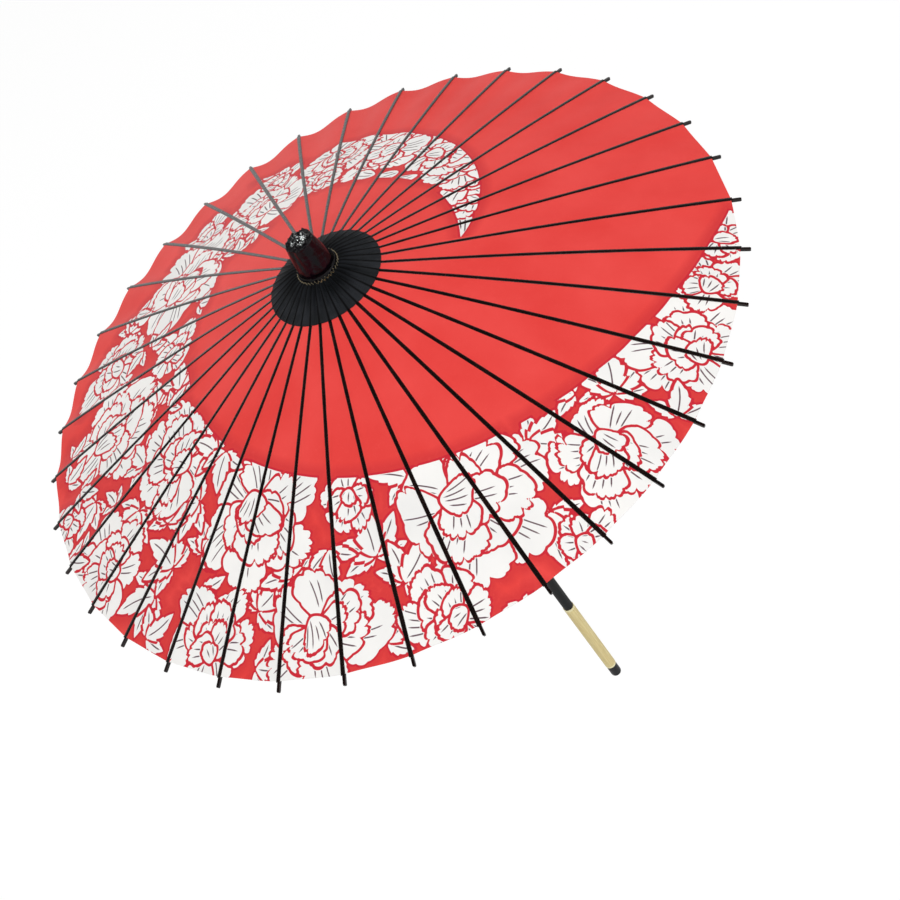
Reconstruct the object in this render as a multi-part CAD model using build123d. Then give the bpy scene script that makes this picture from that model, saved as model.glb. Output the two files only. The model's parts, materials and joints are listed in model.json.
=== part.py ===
"""Japanese dance umbrella of red paper on lacquered bamboo ribs, standing open with its shaft upright.

The origin is the middle of the wooden grip, on the shaft's axis. +Z runs up the shaft to the head.
Every rib lies in a plane through the axis; rib 1 points along +X and the others follow every 10 degrees.
"""

from build123d import *
from math import asin, cos, pi, radians, sin, sqrt
import os

# Overall sizes, in millimetres and degrees
rib_count = 36
rib_length = 422.5  # from the hinge in the head to the tip, straight across the bow
rib_bow = 4.0  # how far the middle of a rib stands above that straight line
open_angle = 18.3  # how far an open rib falls below the horizontal
closed_angle = 88.0  # how far a closed rib falls below the horizontal
hinge_height = 770.0  # the rib hinges above the middle of the grip
pivot_radius = 19.0  # hinge circle of the head and of the runner
stretcher_length = 190.0  # between its two pivots
stretcher_reach = 185.0  # from a rib's hinge to the pivot of its stretcher

# Shaft, grip and end cap
shaft_radius = 6.85
shaft_wall = 1.0
shaft_bore = shaft_radius - shaft_wall
ring_wall = 0.8
grip_radius = shaft_radius + ring_wall
grip_length = 157.0
ring_length = 3.0  # each pale ring let into an end of the grip
spigot_length = 45.0
spigot_clearance = 0.02
spigot_lead = 2.0  # length of the spigot's tapered end
spigot_taper = 1.0
end_cap_length = 25.0
end_cap_inset = 0.35  # the end cap is this much slimmer than the grip all round
end_cap_radius = grip_radius - end_cap_inset
end_cap_round = 4.3
end_peg_radius = 3.0
end_peg_length = 18.0

# Ribs and stretchers
rib_above = 1.4  # depth of a rib above its curved centre line
rib_below = 1.6
rib_head_width = 1.8
rib_root_width = 2.6
rib_tip_width = 3.0
rib_head_spare = 5.0  # the thin flat part that turns in the head's slot reaches this far out of it
shoulder_length = 3.0  # over which a rib or stretcher widens from its thin end
rib_nose = 2.0
rib_tip_chamfer = 1.1
eye_radius = 0.75  # hole for the hinge wire
knob_radius = 1.9  # the ear under a rib that holds its stretcher
knob_roof = 0.12  # uncut wood between the knob's slot and the rib
stretcher_width = 2.4
stretcher_depth = 3.0
stretcher_head_spare = 5.0
tongue_width = 1.1
tongue_gap = 0.1  # clearance each side of the tongue in the knob's slot
tongue_length = 9.0
tongue_inset = 0.25  # the tongue's round end is this much smaller than the knob
tongue_pin_radius = 0.5
tongue_pin_clearance = 0.05
tongue_pin_inset = 0.05  # each end of the pin below the rib's side

# Head hub and runner
hub_wall = 4.0  # wood outside the hinge wire
hub_radius = pivot_radius + hub_wall
slot_gap = 0.15  # clearance each side of a rib or stretcher in its slot
slot_width = rib_head_width + 2 * slot_gap
slot_floor = 2.8  # how far a slot reaches past the hinge wire, towards the shaft
slot_roof = 2.6  # how far a slot reaches past the wire, away from the side where it opens
cut_over = 1.0  # a cut reaches this far past what it cuts
flange_half = 7.0  # the slotted flanges reach this far from the wire on their open side
head_top = 5.0  # upper face of the head's flange, above the hinge wire
wire_radius = 0.6
wire_clearance = 0.05
crown_base = pivot_radius  # radius of the crown's foot
crown_taper = 6.2  # the crown's top is this much smaller in radius than its foot
crown_top = crown_base - crown_taper
crown_height = 45.0  # top of the crown above the hinge wire
crown_shoulder = crown_top + 0.57  # radius where the crown's rounded top starts
crown_round_height = 3.0
crown_round = 2.0
shaft_cover = 4.0  # wood of the crown over the end of the shaft
runner_clearance = 0.08
neck_wall = 5.0
neck_radius = shaft_radius + neck_wall
neck_length = 22.0
neck_bead = 1.2
neck_bead_height = 3.0
neck_bead_slope = 2.0
runner_slope = 4.0  # height over which the neck widens towards the flange
runner_edge = 5.0  # width of the flange's sloping underside
runner_edge_height = 2.0
pin_radius = 1.0
head_pin_rise = 10.0  # the head's pin above its flange
head_pin_inset = 3.0
stop_pin_proud = 2.5
stop_gap = 0.3

# Catch leaf that holds the runner up
catch_drop = 30.0  # the nose below its pin
catch_width = 3.0
catch_thickness = 1.6
catch_nose = 2.6  # how far the nose stands out of the shaft
catch_nose_height = 9.0
catch_bend = 1.6  # the leaf's inner face from the shaft's axis, at its nose
catch_foot_slope = 2.0
catch_chamfer = 0.4
catch_lead = 2.0  # height of the nose's chamfer
catch_face = 1.5  # height of its upright face
catch_eye = 1.7
catch_pin_radius = 0.8
catch_pin_clearance = 0.05
catch_pin_inset = 0.5
catch_window_gap = 0.4
catch_window_spare = 1.8
catch_press = 5.0  # degrees that the leaf turns when it is pressed in

# Sheets and the head's cover
sheet_gap = 0.3  # between the ribs' backs and the sheet
sheet_thickness = 0.4
sheet_inner = hub_radius + 3.0
rib_tip_show = 9.5  # the ribs' tips stand this far past the sheet's rim
rim_thread_radius = 0.35
rim_thread_gap = 0.05
disc_radius = 64.5
disc_thickness = 0.6
disc_lift = 0.4  # the disc above the head's flange, and the cap above the disc
disc_flat = hub_radius + 1.0  # the disc is flat out to this radius
cap_wall = 1.2
cap_gap = 1.3  # between the crown and the cap
cap_base = crown_base + cap_gap + cap_wall
cap_taper = 7.4
cap_top = cap_base - cap_taper
cap_over = 5.0  # the cap's top over the crown's top
cap_height = crown_height + cap_over
cap_foot = head_top + 2 * disc_lift + disc_thickness
disc_inner = cap_base + 0.4
cap_round = 2.5
tie_radius = 0.6
tie_height = 4.0  # the thread above the cap's foot
tie_gap = 0.02

# Places that follow from the sizes
step = 360.0 / rib_count
open_slope = radians(open_angle)
hinge = (pivot_radius, hinge_height)
bow_radius = (rib_length**2 / 4 + rib_bow**2) / (2 * rib_bow)
bow_centre = (
    hinge[0] + rib_length / 2 * cos(open_slope) + (rib_bow - bow_radius) * sin(open_slope),
    hinge[1] - rib_length / 2 * sin(open_slope) + (rib_bow - bow_radius) * cos(open_slope),
)


def runner_height(fall):
    """Height of the runner's pivots when the ribs fall this many degrees below the horizontal."""
    out = stretcher_reach * cos(radians(fall))
    down = stretcher_reach * sin(radians(fall))
    return hinge_height - down - sqrt(stretcher_length**2 - out**2)


runner_open = runner_height(open_angle)
runner_travel = runner_open - runner_height(closed_angle)
stretcher_rise = 90.0 - 180.0 / pi * asin(stretcher_reach * cos(open_slope) / stretcher_length)
grip_top = grip_length / 2
shaft_top = hinge_height + crown_height - shaft_cover
sheet_rim = pivot_radius + rib_length * cos(open_slope) - rib_tip_show
runner_bottom = runner_open - flange_half - neck_length
stop_height = runner_open + flange_half + stop_gap + pin_radius
nose_top = runner_bottom - stop_gap
head_pin_height = hinge_height + head_top + head_pin_rise
head_length = hub_wall + rib_head_spare
knob_slot = tongue_width + 2 * tongue_gap
tongue_radius = knob_radius - tongue_inset
catch_pin_height = nose_top + catch_drop


def ring_of(solid, count=rib_count):
    """Copies of a piece of the +X plane, evenly spaced round the shaft."""
    return [Rot(0, 0, n * 360.0 / count) * solid for n in range(count)]


def turned(*points):
    """A solid turned about the shaft's axis from its outline of (radius, height) points."""
    outline = Polyline(*[(r, 0, z) for r, z in points], close=True)
    return revolve(make_face(outline), Axis.Z)


def tube(outer, inner, low, high):
    return turned((inner, low), (outer, low), (outer, high), (inner, high))


def cross_pin(radius, length, height):
    """A pin across the shaft, along Y."""
    return Pos(0, 0, height) * Rot(90, 0, 0) * Cylinder(radius, length)


def disc_in_plane(x, z, radius, width):
    """A short cylinder along Y with its middle at (x, 0, z)."""
    return Pos(x, 0, z) * Rot(90, 0, 0) * Cylinder(radius, width)


def plan(half_widths, height):
    """A bar seen from above, as (x, half width) points from one end to the other, made `height` deep."""
    there = [(x, w) for x, w in half_widths]
    back = [(x, -w) for x, w in reversed(half_widths)]
    return extrude(make_face(Polyline(*there, *back, close=True)), height / 2, both=True)


def bow_point(x, offset):
    """A point of a rib's curved length, at x along it, `offset` above its centre line."""
    radius = bow_radius + offset
    centre_x, centre_z = rib_length / 2, rib_bow - bow_radius
    return (x, 0, centre_z + sqrt(radius**2 - (x - centre_x) ** 2))


def rib_width(x):
    """Width of a rib at x along it, past its thin head."""
    start = head_length + shoulder_length
    share = (x - start) / (rib_length - rib_tip_chamfer - start)
    return rib_root_width + (rib_tip_width - rib_root_width) * share


def make_rib():
    """A rib lying along +X with its hinge at the origin: a bowed split of bamboo, widening to its tip."""
    middle = rib_length / 2
    back = ThreePointArc(*[bow_point(x, rib_above) for x in (0, middle, rib_length)])
    belly = ThreePointArc(*[bow_point(x, -rib_below) for x in (rib_length, middle, 0)])
    side = make_face([back, Line(back @ 1, belly @ 0), belly, Line(belly @ 1, back @ 0)])
    body = extrude(side, rib_tip_width, both=True)
    body += disc_in_plane(0, 0, rib_nose, 2 * rib_tip_width)
    ear_top = bow_point(stretcher_reach, 0)[2]
    body += disc_in_plane(stretcher_reach, 0, knob_radius, 2 * rib_tip_width)
    body += Pos(stretcher_reach, 0, ear_top / 2) * Box(2 * knob_radius, 2 * rib_tip_width, ear_top)
    tip = rib_length + cut_over
    body &= plan(
        [
            (-rib_nose - 1, rib_head_width / 2),
            (head_length, rib_head_width / 2),
            (head_length + shoulder_length, rib_root_width / 2),
            (rib_length - rib_tip_chamfer, rib_tip_width / 2),
            (tip, rib_tip_width / 2 - rib_tip_chamfer),
        ],
        4 * rib_nose + 2 * ear_top,
    )
    body -= disc_in_plane(0, 0, eye_radius, 2 * rib_tip_width)
    body -= disc_in_plane(
        stretcher_reach, 0, tongue_pin_radius + tongue_pin_clearance, 2 * rib_tip_width
    )
    slot_top = bow_point(stretcher_reach - knob_radius, -rib_below)[2] - knob_roof
    slot_depth = slot_top + 2 * knob_radius
    slot = Box(4 * knob_radius, knob_slot, slot_depth)
    return body - Pos(stretcher_reach, 0, slot_top - slot_depth / 2) * slot


def make_stretcher():
    """A stretcher lying along +X with its runner pivot at the origin: a flat bar with a thin tongue."""
    depth = stretcher_depth
    body = Pos(stretcher_length / 2, 0, 0) * Box(stretcher_length, stretcher_width, depth)
    body += disc_in_plane(0, 0, depth / 2, stretcher_width)
    body += disc_in_plane(stretcher_length, 0, tongue_radius, stretcher_width)
    root = hub_wall + stretcher_head_spare
    shoulder = stretcher_length - tongue_length
    body &= plan(
        [
            (-depth, rib_head_width / 2),
            (root, rib_head_width / 2),
            (root + shoulder_length, stretcher_width / 2),
            (shoulder - shoulder_length, stretcher_width / 2),
            (shoulder, tongue_width / 2),
            (stretcher_length + 2 * tongue_radius, tongue_width / 2),
        ],
        2 * depth,
    )
    body -= disc_in_plane(0, 0, eye_radius, 2 * stretcher_width)
    return body - disc_in_plane(
        stretcher_length, 0, tongue_pin_radius + tongue_pin_clearance, 2 * stretcher_width
    )


def hinge_slots(height, opens):
    """The slots that the ribs or stretchers turn in, open outwards and up (opens = 1) or down (-1)."""
    inner = pivot_radius - slot_floor
    length = hub_radius + cut_over - inner
    low, high = -slot_roof, flange_half + cut_over
    slot = Box(length, slot_width, high - low)
    middle = opens * (low + high) / 2
    return ring_of(Pos(inner + length / 2, 0, height + middle) * slot)


def wire(height, radius=wire_radius):
    return Pos(0, 0, height) * Torus(pivot_radius, radius)


def make_head_hub():
    """Turned wooden head: a slotted flange that holds the ribs, under a tapered crown."""
    base = hinge_height
    hub = turned(
        (shaft_radius, base - flange_half),
        (hub_radius, base - flange_half),
        (hub_radius, base + head_top),
        (crown_base, base + head_top),
        (crown_shoulder, base + crown_height - crown_round_height),
        (crown_top - crown_round, base + crown_height),
        (0, base + crown_height),
        (0, shaft_top),
        (shaft_radius, shaft_top),
    )
    hub -= hinge_slots(base, -1)
    hub -= wire(base, wire_radius + wire_clearance)
    return hub - cross_pin(pin_radius, 2 * crown_base, head_pin_height)


def make_runner():
    """Turned wooden runner: a slotted flange that holds the stretchers, over a neck to grip."""
    bore = shaft_radius + runner_clearance
    base, low = runner_open, runner_bottom
    runner = turned(
        (bore, low),
        (neck_radius + neck_bead, low),
        (neck_radius + neck_bead, low + neck_bead_height),
        (neck_radius, low + neck_bead_height + neck_bead_slope),
        (neck_radius, base - flange_half - runner_slope),
        (hub_radius - runner_edge, base - flange_half),
        (hub_radius, base - flange_half + runner_edge_height),
        (hub_radius, base + flange_half),
        (bore, base + flange_half),
    )
    runner -= hinge_slots(base, 1)
    return runner - wire(base, wire_radius + wire_clearance)


def make_shaft():
    """Black steel tube from the grip to the crown, with holes for its pins and the catch's window."""
    shaft = tube(shaft_radius, shaft_bore, grip_top, shaft_top)
    shaft -= cross_pin(pin_radius, 4 * shaft_radius, head_pin_height)
    shaft -= cross_pin(pin_radius, 4 * shaft_radius, stop_height)
    shaft -= cross_pin(catch_pin_radius, 4 * shaft_radius, catch_pin_height)
    height = catch_nose_height + 2 * catch_window_gap + catch_window_spare
    window = Box(2 * shaft_radius, catch_width + 2 * catch_window_gap, height)
    middle = nose_top + catch_window_gap - height / 2
    return shaft - Pos(shaft_radius, 0, middle) * window


def make_catch():
    """Sprung leaf inside the tube: it hangs from its pin, and its nose comes out under the runner."""
    top, low = nose_top - catch_pin_height, nose_top - catch_pin_height - catch_nose_height
    inner, outer = catch_bend, shaft_radius + catch_nose
    outline = Polyline(
        (-catch_thickness / 2, 0, 0),
        (inner, 0, low),
        (inner + catch_thickness, 0, low - catch_foot_slope),
        (outer - catch_chamfer, 0, top - catch_face - catch_lead),
        (outer, 0, top - catch_face),
        (outer, 0, top),
        (inner + catch_thickness, 0, top),
        (catch_thickness / 2, 0, 0),
        close=True,
    )
    leaf = extrude(make_face(outline), catch_width / 2, both=True)
    leaf += disc_in_plane(0, 0, catch_eye, catch_width)
    leaf -= disc_in_plane(0, 0, catch_pin_radius + catch_pin_clearance, 2 * catch_width)
    return Pos(0, 0, catch_pin_height) * leaf


def make_grip():
    """Plain wooden grip, turned down under its two pale rings, with a spigot up into the shaft."""
    seat = grip_radius - ring_wall
    spigot = shaft_bore - spigot_clearance
    low, high = -grip_top, grip_top
    return turned(
        (0, low + end_peg_length),
        (end_peg_radius, low + end_peg_length),
        (end_peg_radius, low),
        (seat, low),
        (seat, low + ring_length),
        (grip_radius, low + ring_length),
        (grip_radius, high - ring_length),
        (seat, high - ring_length),
        (seat, high),
        (spigot, high),
        (spigot, high + spigot_length - spigot_lead),
        (spigot - spigot_taper, high + spigot_length),
        (0, high + spigot_length),
    )


def make_end_cap():
    """Black end of the handle: a peg in the grip and a rounded foot."""
    low = -grip_top - end_cap_length
    foot = Pos(0, 0, low + end_cap_length / 2) * Cylinder(end_cap_radius, end_cap_length)
    foot = fillet(foot.edges().sort_by(Axis.Z)[0], end_cap_round)
    peg_middle = -grip_top + end_peg_length / 2
    return foot + Pos(0, 0, peg_middle) * Cylinder(end_peg_radius, end_peg_length)


def bow_height(radius, offset):
    """Height above the origin of the surface `offset` over the open ribs' centre lines."""
    return bow_centre[1] + sqrt((bow_radius + offset) ** 2 - (radius - bow_centre[0]) ** 2)


def sheet_arc(inner, outer, offset):
    ends = [(r, 0, bow_height(r, offset)) for r in (inner, (inner + outer) / 2, outer)]
    return ThreePointArc(*ends)


def make_canopy():
    """The stretched sheet, as one thin turned shell that lies just above the ribs' backs."""
    low = rib_above + sheet_gap
    under = sheet_arc(sheet_inner, sheet_rim, low)
    over = sheet_arc(sheet_inner, sheet_rim, low + sheet_thickness)
    section = make_face([under, Line(under @ 1, over @ 1), over, Line(over @ 0, under @ 0)])
    return revolve(section, Axis.Z)


def make_rim_thread():
    """Thread round the sheet's rim, from rib to rib."""
    offset = rib_above + sheet_gap + sheet_thickness / 2
    radius = sheet_rim + rim_thread_radius + rim_thread_gap
    return Pos(0, 0, bow_height(radius, offset)) * Torus(radius, rim_thread_radius)


def make_disc():
    """Pleated disc round the head, as a shallow cone from the flange down to the sheet."""
    inner_z = hinge_height + head_top + disc_lift
    clear = rib_above + sheet_gap + sheet_thickness + disc_lift
    outer_z = bow_height(disc_radius, clear)
    return turned(
        (disc_inner, inner_z),
        (disc_flat, inner_z),
        (disc_radius, outer_z),
        (disc_radius, outer_z + disc_thickness),
        (disc_flat, inner_z + disc_thickness),
        (disc_inner, inner_z + disc_thickness),
    )


def cap_radius(height):
    """Outer radius of the cap at a height above the hinge wire."""
    share = (height - cap_foot) / (cap_height - cap_foot)
    return cap_base + (cap_top - cap_base) * share


def make_cap():
    """Tapered cap that covers the crown, open at its foot."""
    low, high = hinge_height + cap_foot, hinge_height + cap_height
    inner_top = cap_radius(cap_height - cap_wall) - cap_wall
    return turned(
        (cap_base - cap_wall, low),
        (cap_base, low),
        (cap_radius(cap_height - cap_round), high - cap_round),
        (cap_top - cap_round, high),
        (0, high),
        (0, high - cap_wall),
        (inner_top - cap_round, high - cap_wall),
        (inner_top, high - cap_wall - cap_round),
    )


def make_tie():
    height = cap_foot + tie_height
    return Pos(0, 0, hinge_height + height) * Torus(
        cap_radius(height) + tie_radius * 1.1 + tie_gap, tie_radius
    )


def rib_in_place(number):
    placed = Pos(hinge[0], 0, hinge[1]) * Rot(0, open_angle, 0) * make_rib()
    return Rot(0, 0, number * step) * placed


def stretchers_in_place():
    placed = Pos(pivot_radius, 0, runner_open) * Rot(0, -stretcher_rise, 0) * make_stretcher()
    return Compound(ring_of(placed))


def stretcher_pins_in_place():
    x = pivot_radius + stretcher_reach * cos(open_slope)
    z = hinge_height - stretcher_reach * sin(open_slope)
    length = rib_width(stretcher_reach) - 2 * tongue_pin_inset
    pin = disc_in_plane(x, z, tongue_pin_radius, length)
    return Compound(ring_of(pin))


seat_radius = grip_radius - ring_wall
pieces = {
    "shaft_tube": make_shaft(),
    "grip": make_grip(),
    "grip_ring_upper": tube(grip_radius, seat_radius, grip_top - ring_length, grip_top),
    "grip_ring_lower": tube(grip_radius, seat_radius, -grip_top, -grip_top + ring_length),
    "end_cap": make_end_cap(),
    "head_hub": make_head_hub(),
    "head_wire": wire(hinge_height),
    "head_pin": cross_pin(pin_radius, 2 * (crown_base - head_pin_inset), head_pin_height),
    "stop_pin": cross_pin(pin_radius, 2 * (shaft_radius + stop_pin_proud), stop_height),
    "catch_pin": cross_pin(catch_pin_radius, 2 * (shaft_radius - catch_pin_inset), catch_pin_height),
    "catch_leaf": make_catch(),
    "head_cap": make_cap(),
    "cap_tie": make_tie(),
    "ceiling_disc": make_disc(),
    "canopy": make_canopy(),
    "rim_thread": make_rim_thread(),
    "runner_hub": make_runner(),
    "runner_wire": wire(runner_open),
    "stretchers": stretchers_in_place(),
    "stretcher_pins": stretcher_pins_in_place(),
}
for number in range(rib_count):
    pieces[f"rib_{number + 1:02d}"] = rib_in_place(number)

os.makedirs("parts", exist_ok=True)
for name, piece in pieces.items():
    export_step(piece, f"parts/{name}.step")

print(f"runner pivots at {runner_open:.3f}, travel {runner_travel:.3f}")
print(f"rib turn {closed_angle - open_angle:.2f} degrees, catch press {catch_press:.1f} degrees")
print(f"runner bottom {runner_bottom:.3f}, catch pin {catch_pin_height:.3f}")
tip = hinge[0] + rib_length * cos(open_slope)
print(f"tip circle {tip:.2f} at {hinge_height - rib_length * sin(open_slope):.2f}")
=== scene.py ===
"""An open paper umbrella: printed sheet on lacquered ribs, head, runner, stretchers and grip."""

import json
import math

import bpy
import numpy as np
from mathutils import Matrix, Vector


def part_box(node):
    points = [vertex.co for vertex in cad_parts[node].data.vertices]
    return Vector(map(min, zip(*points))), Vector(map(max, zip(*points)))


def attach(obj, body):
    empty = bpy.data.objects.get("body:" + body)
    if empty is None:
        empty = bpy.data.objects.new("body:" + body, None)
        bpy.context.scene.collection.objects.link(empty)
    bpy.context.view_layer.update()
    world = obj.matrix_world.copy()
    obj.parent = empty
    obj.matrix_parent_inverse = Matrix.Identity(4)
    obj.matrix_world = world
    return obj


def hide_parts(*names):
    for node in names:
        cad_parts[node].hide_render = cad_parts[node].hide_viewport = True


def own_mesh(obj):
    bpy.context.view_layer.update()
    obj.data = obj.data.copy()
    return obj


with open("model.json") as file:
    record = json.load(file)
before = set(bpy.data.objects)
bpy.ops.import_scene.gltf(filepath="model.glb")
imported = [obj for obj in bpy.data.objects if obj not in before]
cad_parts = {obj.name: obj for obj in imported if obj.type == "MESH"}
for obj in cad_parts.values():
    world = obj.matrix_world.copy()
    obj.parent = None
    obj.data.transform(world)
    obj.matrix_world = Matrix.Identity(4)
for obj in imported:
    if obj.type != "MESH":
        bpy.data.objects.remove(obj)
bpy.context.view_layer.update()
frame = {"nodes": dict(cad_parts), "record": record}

# Sizes in metres, as the frame holds them
RIBS = 36
STEP = 360.0 / RIBS  # degrees from rib to rib
MM = 0.001
JOINTS = {joint["name"]: joint for joint in frame["record"]["behaviour"]["joints"]}
HINGE_R, _, HINGE_Z = JOINTS["rib_01_hinge"]["pos_m"]
RIB_LENGTH = 0.4225  # from the hinge to the tip, straight across the bow
RIB_SLOPE = math.radians(18.3)  # the open ribs' fall from their hinges
CLOSED_SLOPE = math.radians(88)
RIB_BOW = 0.004
RIB_BACK = 0.0014  # the rib's back above its curved centre line
SHEET_GAP = 0.0003  # between the ribs' backs and the sheet
SHEET_THICK = 0.0004
SHEET_INNER = 0.026
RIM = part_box("canopy")[1][0]
LACQUER_HIGH = 0.0007  # the line of lacquer over the sheet, along each rib
TIP = HINGE_R + RIB_LENGTH * math.cos(RIB_SLOPE)
TIP_Z = HINGE_Z - RIB_LENGTH * math.sin(RIB_SLOPE)
CLOSED_R = HINGE_R + RIB_LENGTH * math.cos(CLOSED_SLOPE)
DISC_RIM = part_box("ceiling_disc")[1][0]
DISC_SPLIT = 0.024  # inside this radius the disc stays on the head's flange
DISC_INNER = 0.0175
DISC_RISE = 0.0062  # the head's flange above the hinges
DISC_THICK = 0.0004
CAP_LOW, CAP_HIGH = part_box("head_cap")[0][2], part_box("head_cap")[1][2]
CAP_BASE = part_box("head_cap")[1][0]
CAP_TOP = CAP_BASE - 0.0074
RUNNER_Z = HINGE_Z - 0.13054
STRETCHER_REACH = 0.185  # from a rib's hinge to its ear
EAR_X = HINGE_R + STRETCHER_REACH * math.cos(RIB_SLOPE)
EAR_Z = HINGE_Z - STRETCHER_REACH * math.sin(RIB_SLOPE)

# The arc that the ribs' centre lines follow, as its centre and radius in a plane through the shaft
BOW_R = (RIB_LENGTH**2 / 4 + RIB_BOW**2) / (2 * RIB_BOW)
BOW_X = HINGE_R + RIB_LENGTH / 2 * math.cos(RIB_SLOPE) + (RIB_BOW - BOW_R) * math.sin(RIB_SLOPE)
BOW_Z = HINGE_Z - RIB_LENGTH / 2 * math.sin(RIB_SLOPE) + (RIB_BOW - BOW_R) * math.cos(RIB_SLOPE)


# ---------------------------------------------------------------- shader maths


class Value:
    """A number that varies over a surface. Arithmetic on it adds Math nodes to its finish."""

    def __init__(self, finish, socket):
        self.finish = finish
        self.socket = socket

    def math(self, operation, *others):
        node = self.finish.node("Math", {"operation": operation}, self, *others)
        return Value(self.finish, node.outputs[0])

    def flipped(self, operation, other):
        node = self.finish.node("Math", {"operation": operation}, other, self)
        return Value(self.finish, node.outputs[0])

    def __add__(self, other):
        return self.math("ADD", other)

    def __radd__(self, other):
        return self.math("ADD", other)

    def __sub__(self, other):
        return self.math("SUBTRACT", other)

    def __rsub__(self, other):
        return self.flipped("SUBTRACT", other)

    def __mul__(self, other):
        return self.math("MULTIPLY", other)

    def __rmul__(self, other):
        return self.math("MULTIPLY", other)

    def __truediv__(self, other):
        return self.math("DIVIDE", other)

    def clipped(self):
        return self.math("MAXIMUM", 0.0).math("MINIMUM", 1.0)

    def above(self, low, high):
        """0 below low, 1 above high, and a straight rise between."""
        return ((self - low) / (high - low)).clipped()


class Finish:
    """One material: a Principled surface whose nodes come from one method."""

    def __init__(self, name, **constants):
        self.material = bpy.data.materials.new(name)
        self.material.use_nodes = True
        self.tree = self.material.node_tree
        self.surface = next(n for n in self.tree.nodes if n.type == "BSDF_PRINCIPLED")
        for socket, value in constants.items():
            self.surface.inputs[socket.replace("_", " ")].default_value = value

    def node(self, kind, settings=None, *values, **named):
        """A node of a kind, with its settings, then the values or links of its sockets."""
        node = self.tree.nodes.new("ShaderNode" + kind)
        for key, setting in (settings or {}).items():
            setattr(node, key, setting)
        for key, value in [*enumerate(values), *named.items()]:
            if value is None:
                continue
            socket = node.inputs[key.replace("_", " ") if isinstance(key, str) else key]
            self.feed(socket, value)
        return node

    def feed(self, socket, value):
        if isinstance(value, Value):
            self.tree.links.new(value.socket, socket)
        elif isinstance(value, bpy.types.NodeSocket):
            self.tree.links.new(value, socket)
        else:
            socket.default_value = value

    def set(self, **inputs):
        """Feeds the surface's own sockets, such as Base_Color."""
        for socket, value in inputs.items():
            self.feed(self.surface.inputs[socket.replace("_", " ")], value)

    def place(self, scale=(1, 1, 1)):
        """The piece's own coordinates, in metres, stretched by scale."""
        coordinates = self.node("TexCoord").outputs["Object"]
        return self.node("Mapping", None, Vector=coordinates, Scale=scale).outputs[0]

    def axes(self):
        """The piece's own x, y and z, in metres."""
        split = self.node("SeparateXYZ", None, self.node("TexCoord").outputs["Object"])
        return [Value(self, split.outputs[axis]) for axis in range(3)]

    def noise(self, scale, detail=3.0, rough=0.5, vector=None, warp=0.0):
        """Cloudy noise about 0.5, with `scale` lumps to the metre."""
        node = self.node(
            "TexNoise", None, Vector=vector or self.place(),
            Scale=scale, Detail=detail, Roughness=rough, Distortion=warp,
        )
        return Value(self, node.outputs["Factor" if "Factor" in node.outputs else "Fac"])

    def mix(self, share, first, second):
        """A colour between two: share 0 is the first, and 1 the second."""
        node = self.node("Mix", {"data_type": "RGBA", "blend_type": "MIX", "clamp_factor": True})
        self.feed(node.inputs[0], share)
        self.feed(node.inputs[6], first)
        self.feed(node.inputs[7], second)
        return node.outputs[2]

    def bump(self, height, distance, strength=1.0):
        node = self.node("Bump", None, Height=height, Distance=distance, Strength=strength)
        self.set(Normal=node.outputs[0])


def rgb(red, green, blue):
    """A colour given as it looks, from 0 to 255 a channel, in the linear values that shaders hold."""
    channels = [c / 255 for c in (red, green, blue)]
    linear = [c / 12.92 if c < 0.04 else ((c + 0.055) / 1.055) ** 2.4 for c in channels]
    return (*linear, 1.0)


# ---------------------------------------------------------------- finishes


def printed_paper():
    """Oiled paper dyed red, left white where the print is, with plum strokes in the petals. The print's
    four fields, in millimetres, come from the sheet's points, as class Print tells."""
    finish = Finish("printed_paper", **{"Specular IOR Level": 0.07})
    field = finish.node("Attribute", {"attribute_name": "print_field"})
    parts = finish.node("SeparateColor", {"mode": "RGB"}, field.outputs["Color"])
    edge, phase, pitch = (Value(finish, part) for part in parts.outputs)
    stroke = Value(finish, field.outputs["Alpha"])
    fibres = finish.noise(260.0, detail=6.0, rough=0.65, warp=1.2)
    cloud = finish.noise(14.0)
    ragged = edge + (fibres - 0.5) * 0.35
    white = ragged.above(-0.18, 0.18)
    near_print = ragged.above(-16.0, -6.0)
    rim_of_dye = ragged.above(-2.7, -1.9)
    red = finish.mix(cloud.above(0.35, 0.7), rgb(222, 64, 60), rgb(229, 74, 70))
    red = finish.mix(near_print * 0.75, red, rgb(205, 54, 56))
    red = finish.mix(rim_of_dye, red, rgb(198, 40, 54))
    red = finish.mix(fibres.above(0.55, 0.8) * 0.22, red, rgb(238, 98, 90))
    pale = finish.mix(cloud.above(0.3, 0.75), rgb(241, 239, 236), rgb(230, 229, 227))
    colour = finish.mix(white, red, pale)
    off_line = (phase.math("FRACT") - 0.5).math("ABSOLUTE") * pitch
    half_width = stroke.above(0.0, 4.0) * 0.72
    soft_edge = 0.3
    line = 1.0 - ((off_line - half_width) / soft_edge + 0.5).clipped()
    line = line * stroke.above(0.0, 0.4) * edge.above(0.5, 1.0)
    colour = finish.mix(line * 0.95, colour, rgb(84, 48, 62))
    finish.set(Base_Color=colour, Roughness=0.46 + (fibres - 0.5) * 0.25)
    finish.bump(fibres * 0.6 + finish.noise(900.0) * 0.4, 0.00012, 0.6)
    return finish.material


def lacquer():
    """Black lacquer brushed over bamboo: deep gloss with faint strokes along the rib."""
    finish = Finish("black_lacquer", **{"Specular IOR Level": 0.34})
    strokes = finish.noise(420.0, detail=4.0, rough=0.6, warp=0.6)
    worn = finish.noise(60.0, detail=4.0, rough=0.6)
    finish.set(
        Base_Color=finish.mix(worn.above(0.45, 0.75), rgb(14, 5, 4), rgb(30, 13, 10)),
        Roughness=0.16 + strokes * 0.2,
    )
    finish.bump(strokes, 0.00015, 0.4)
    return finish.material


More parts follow.
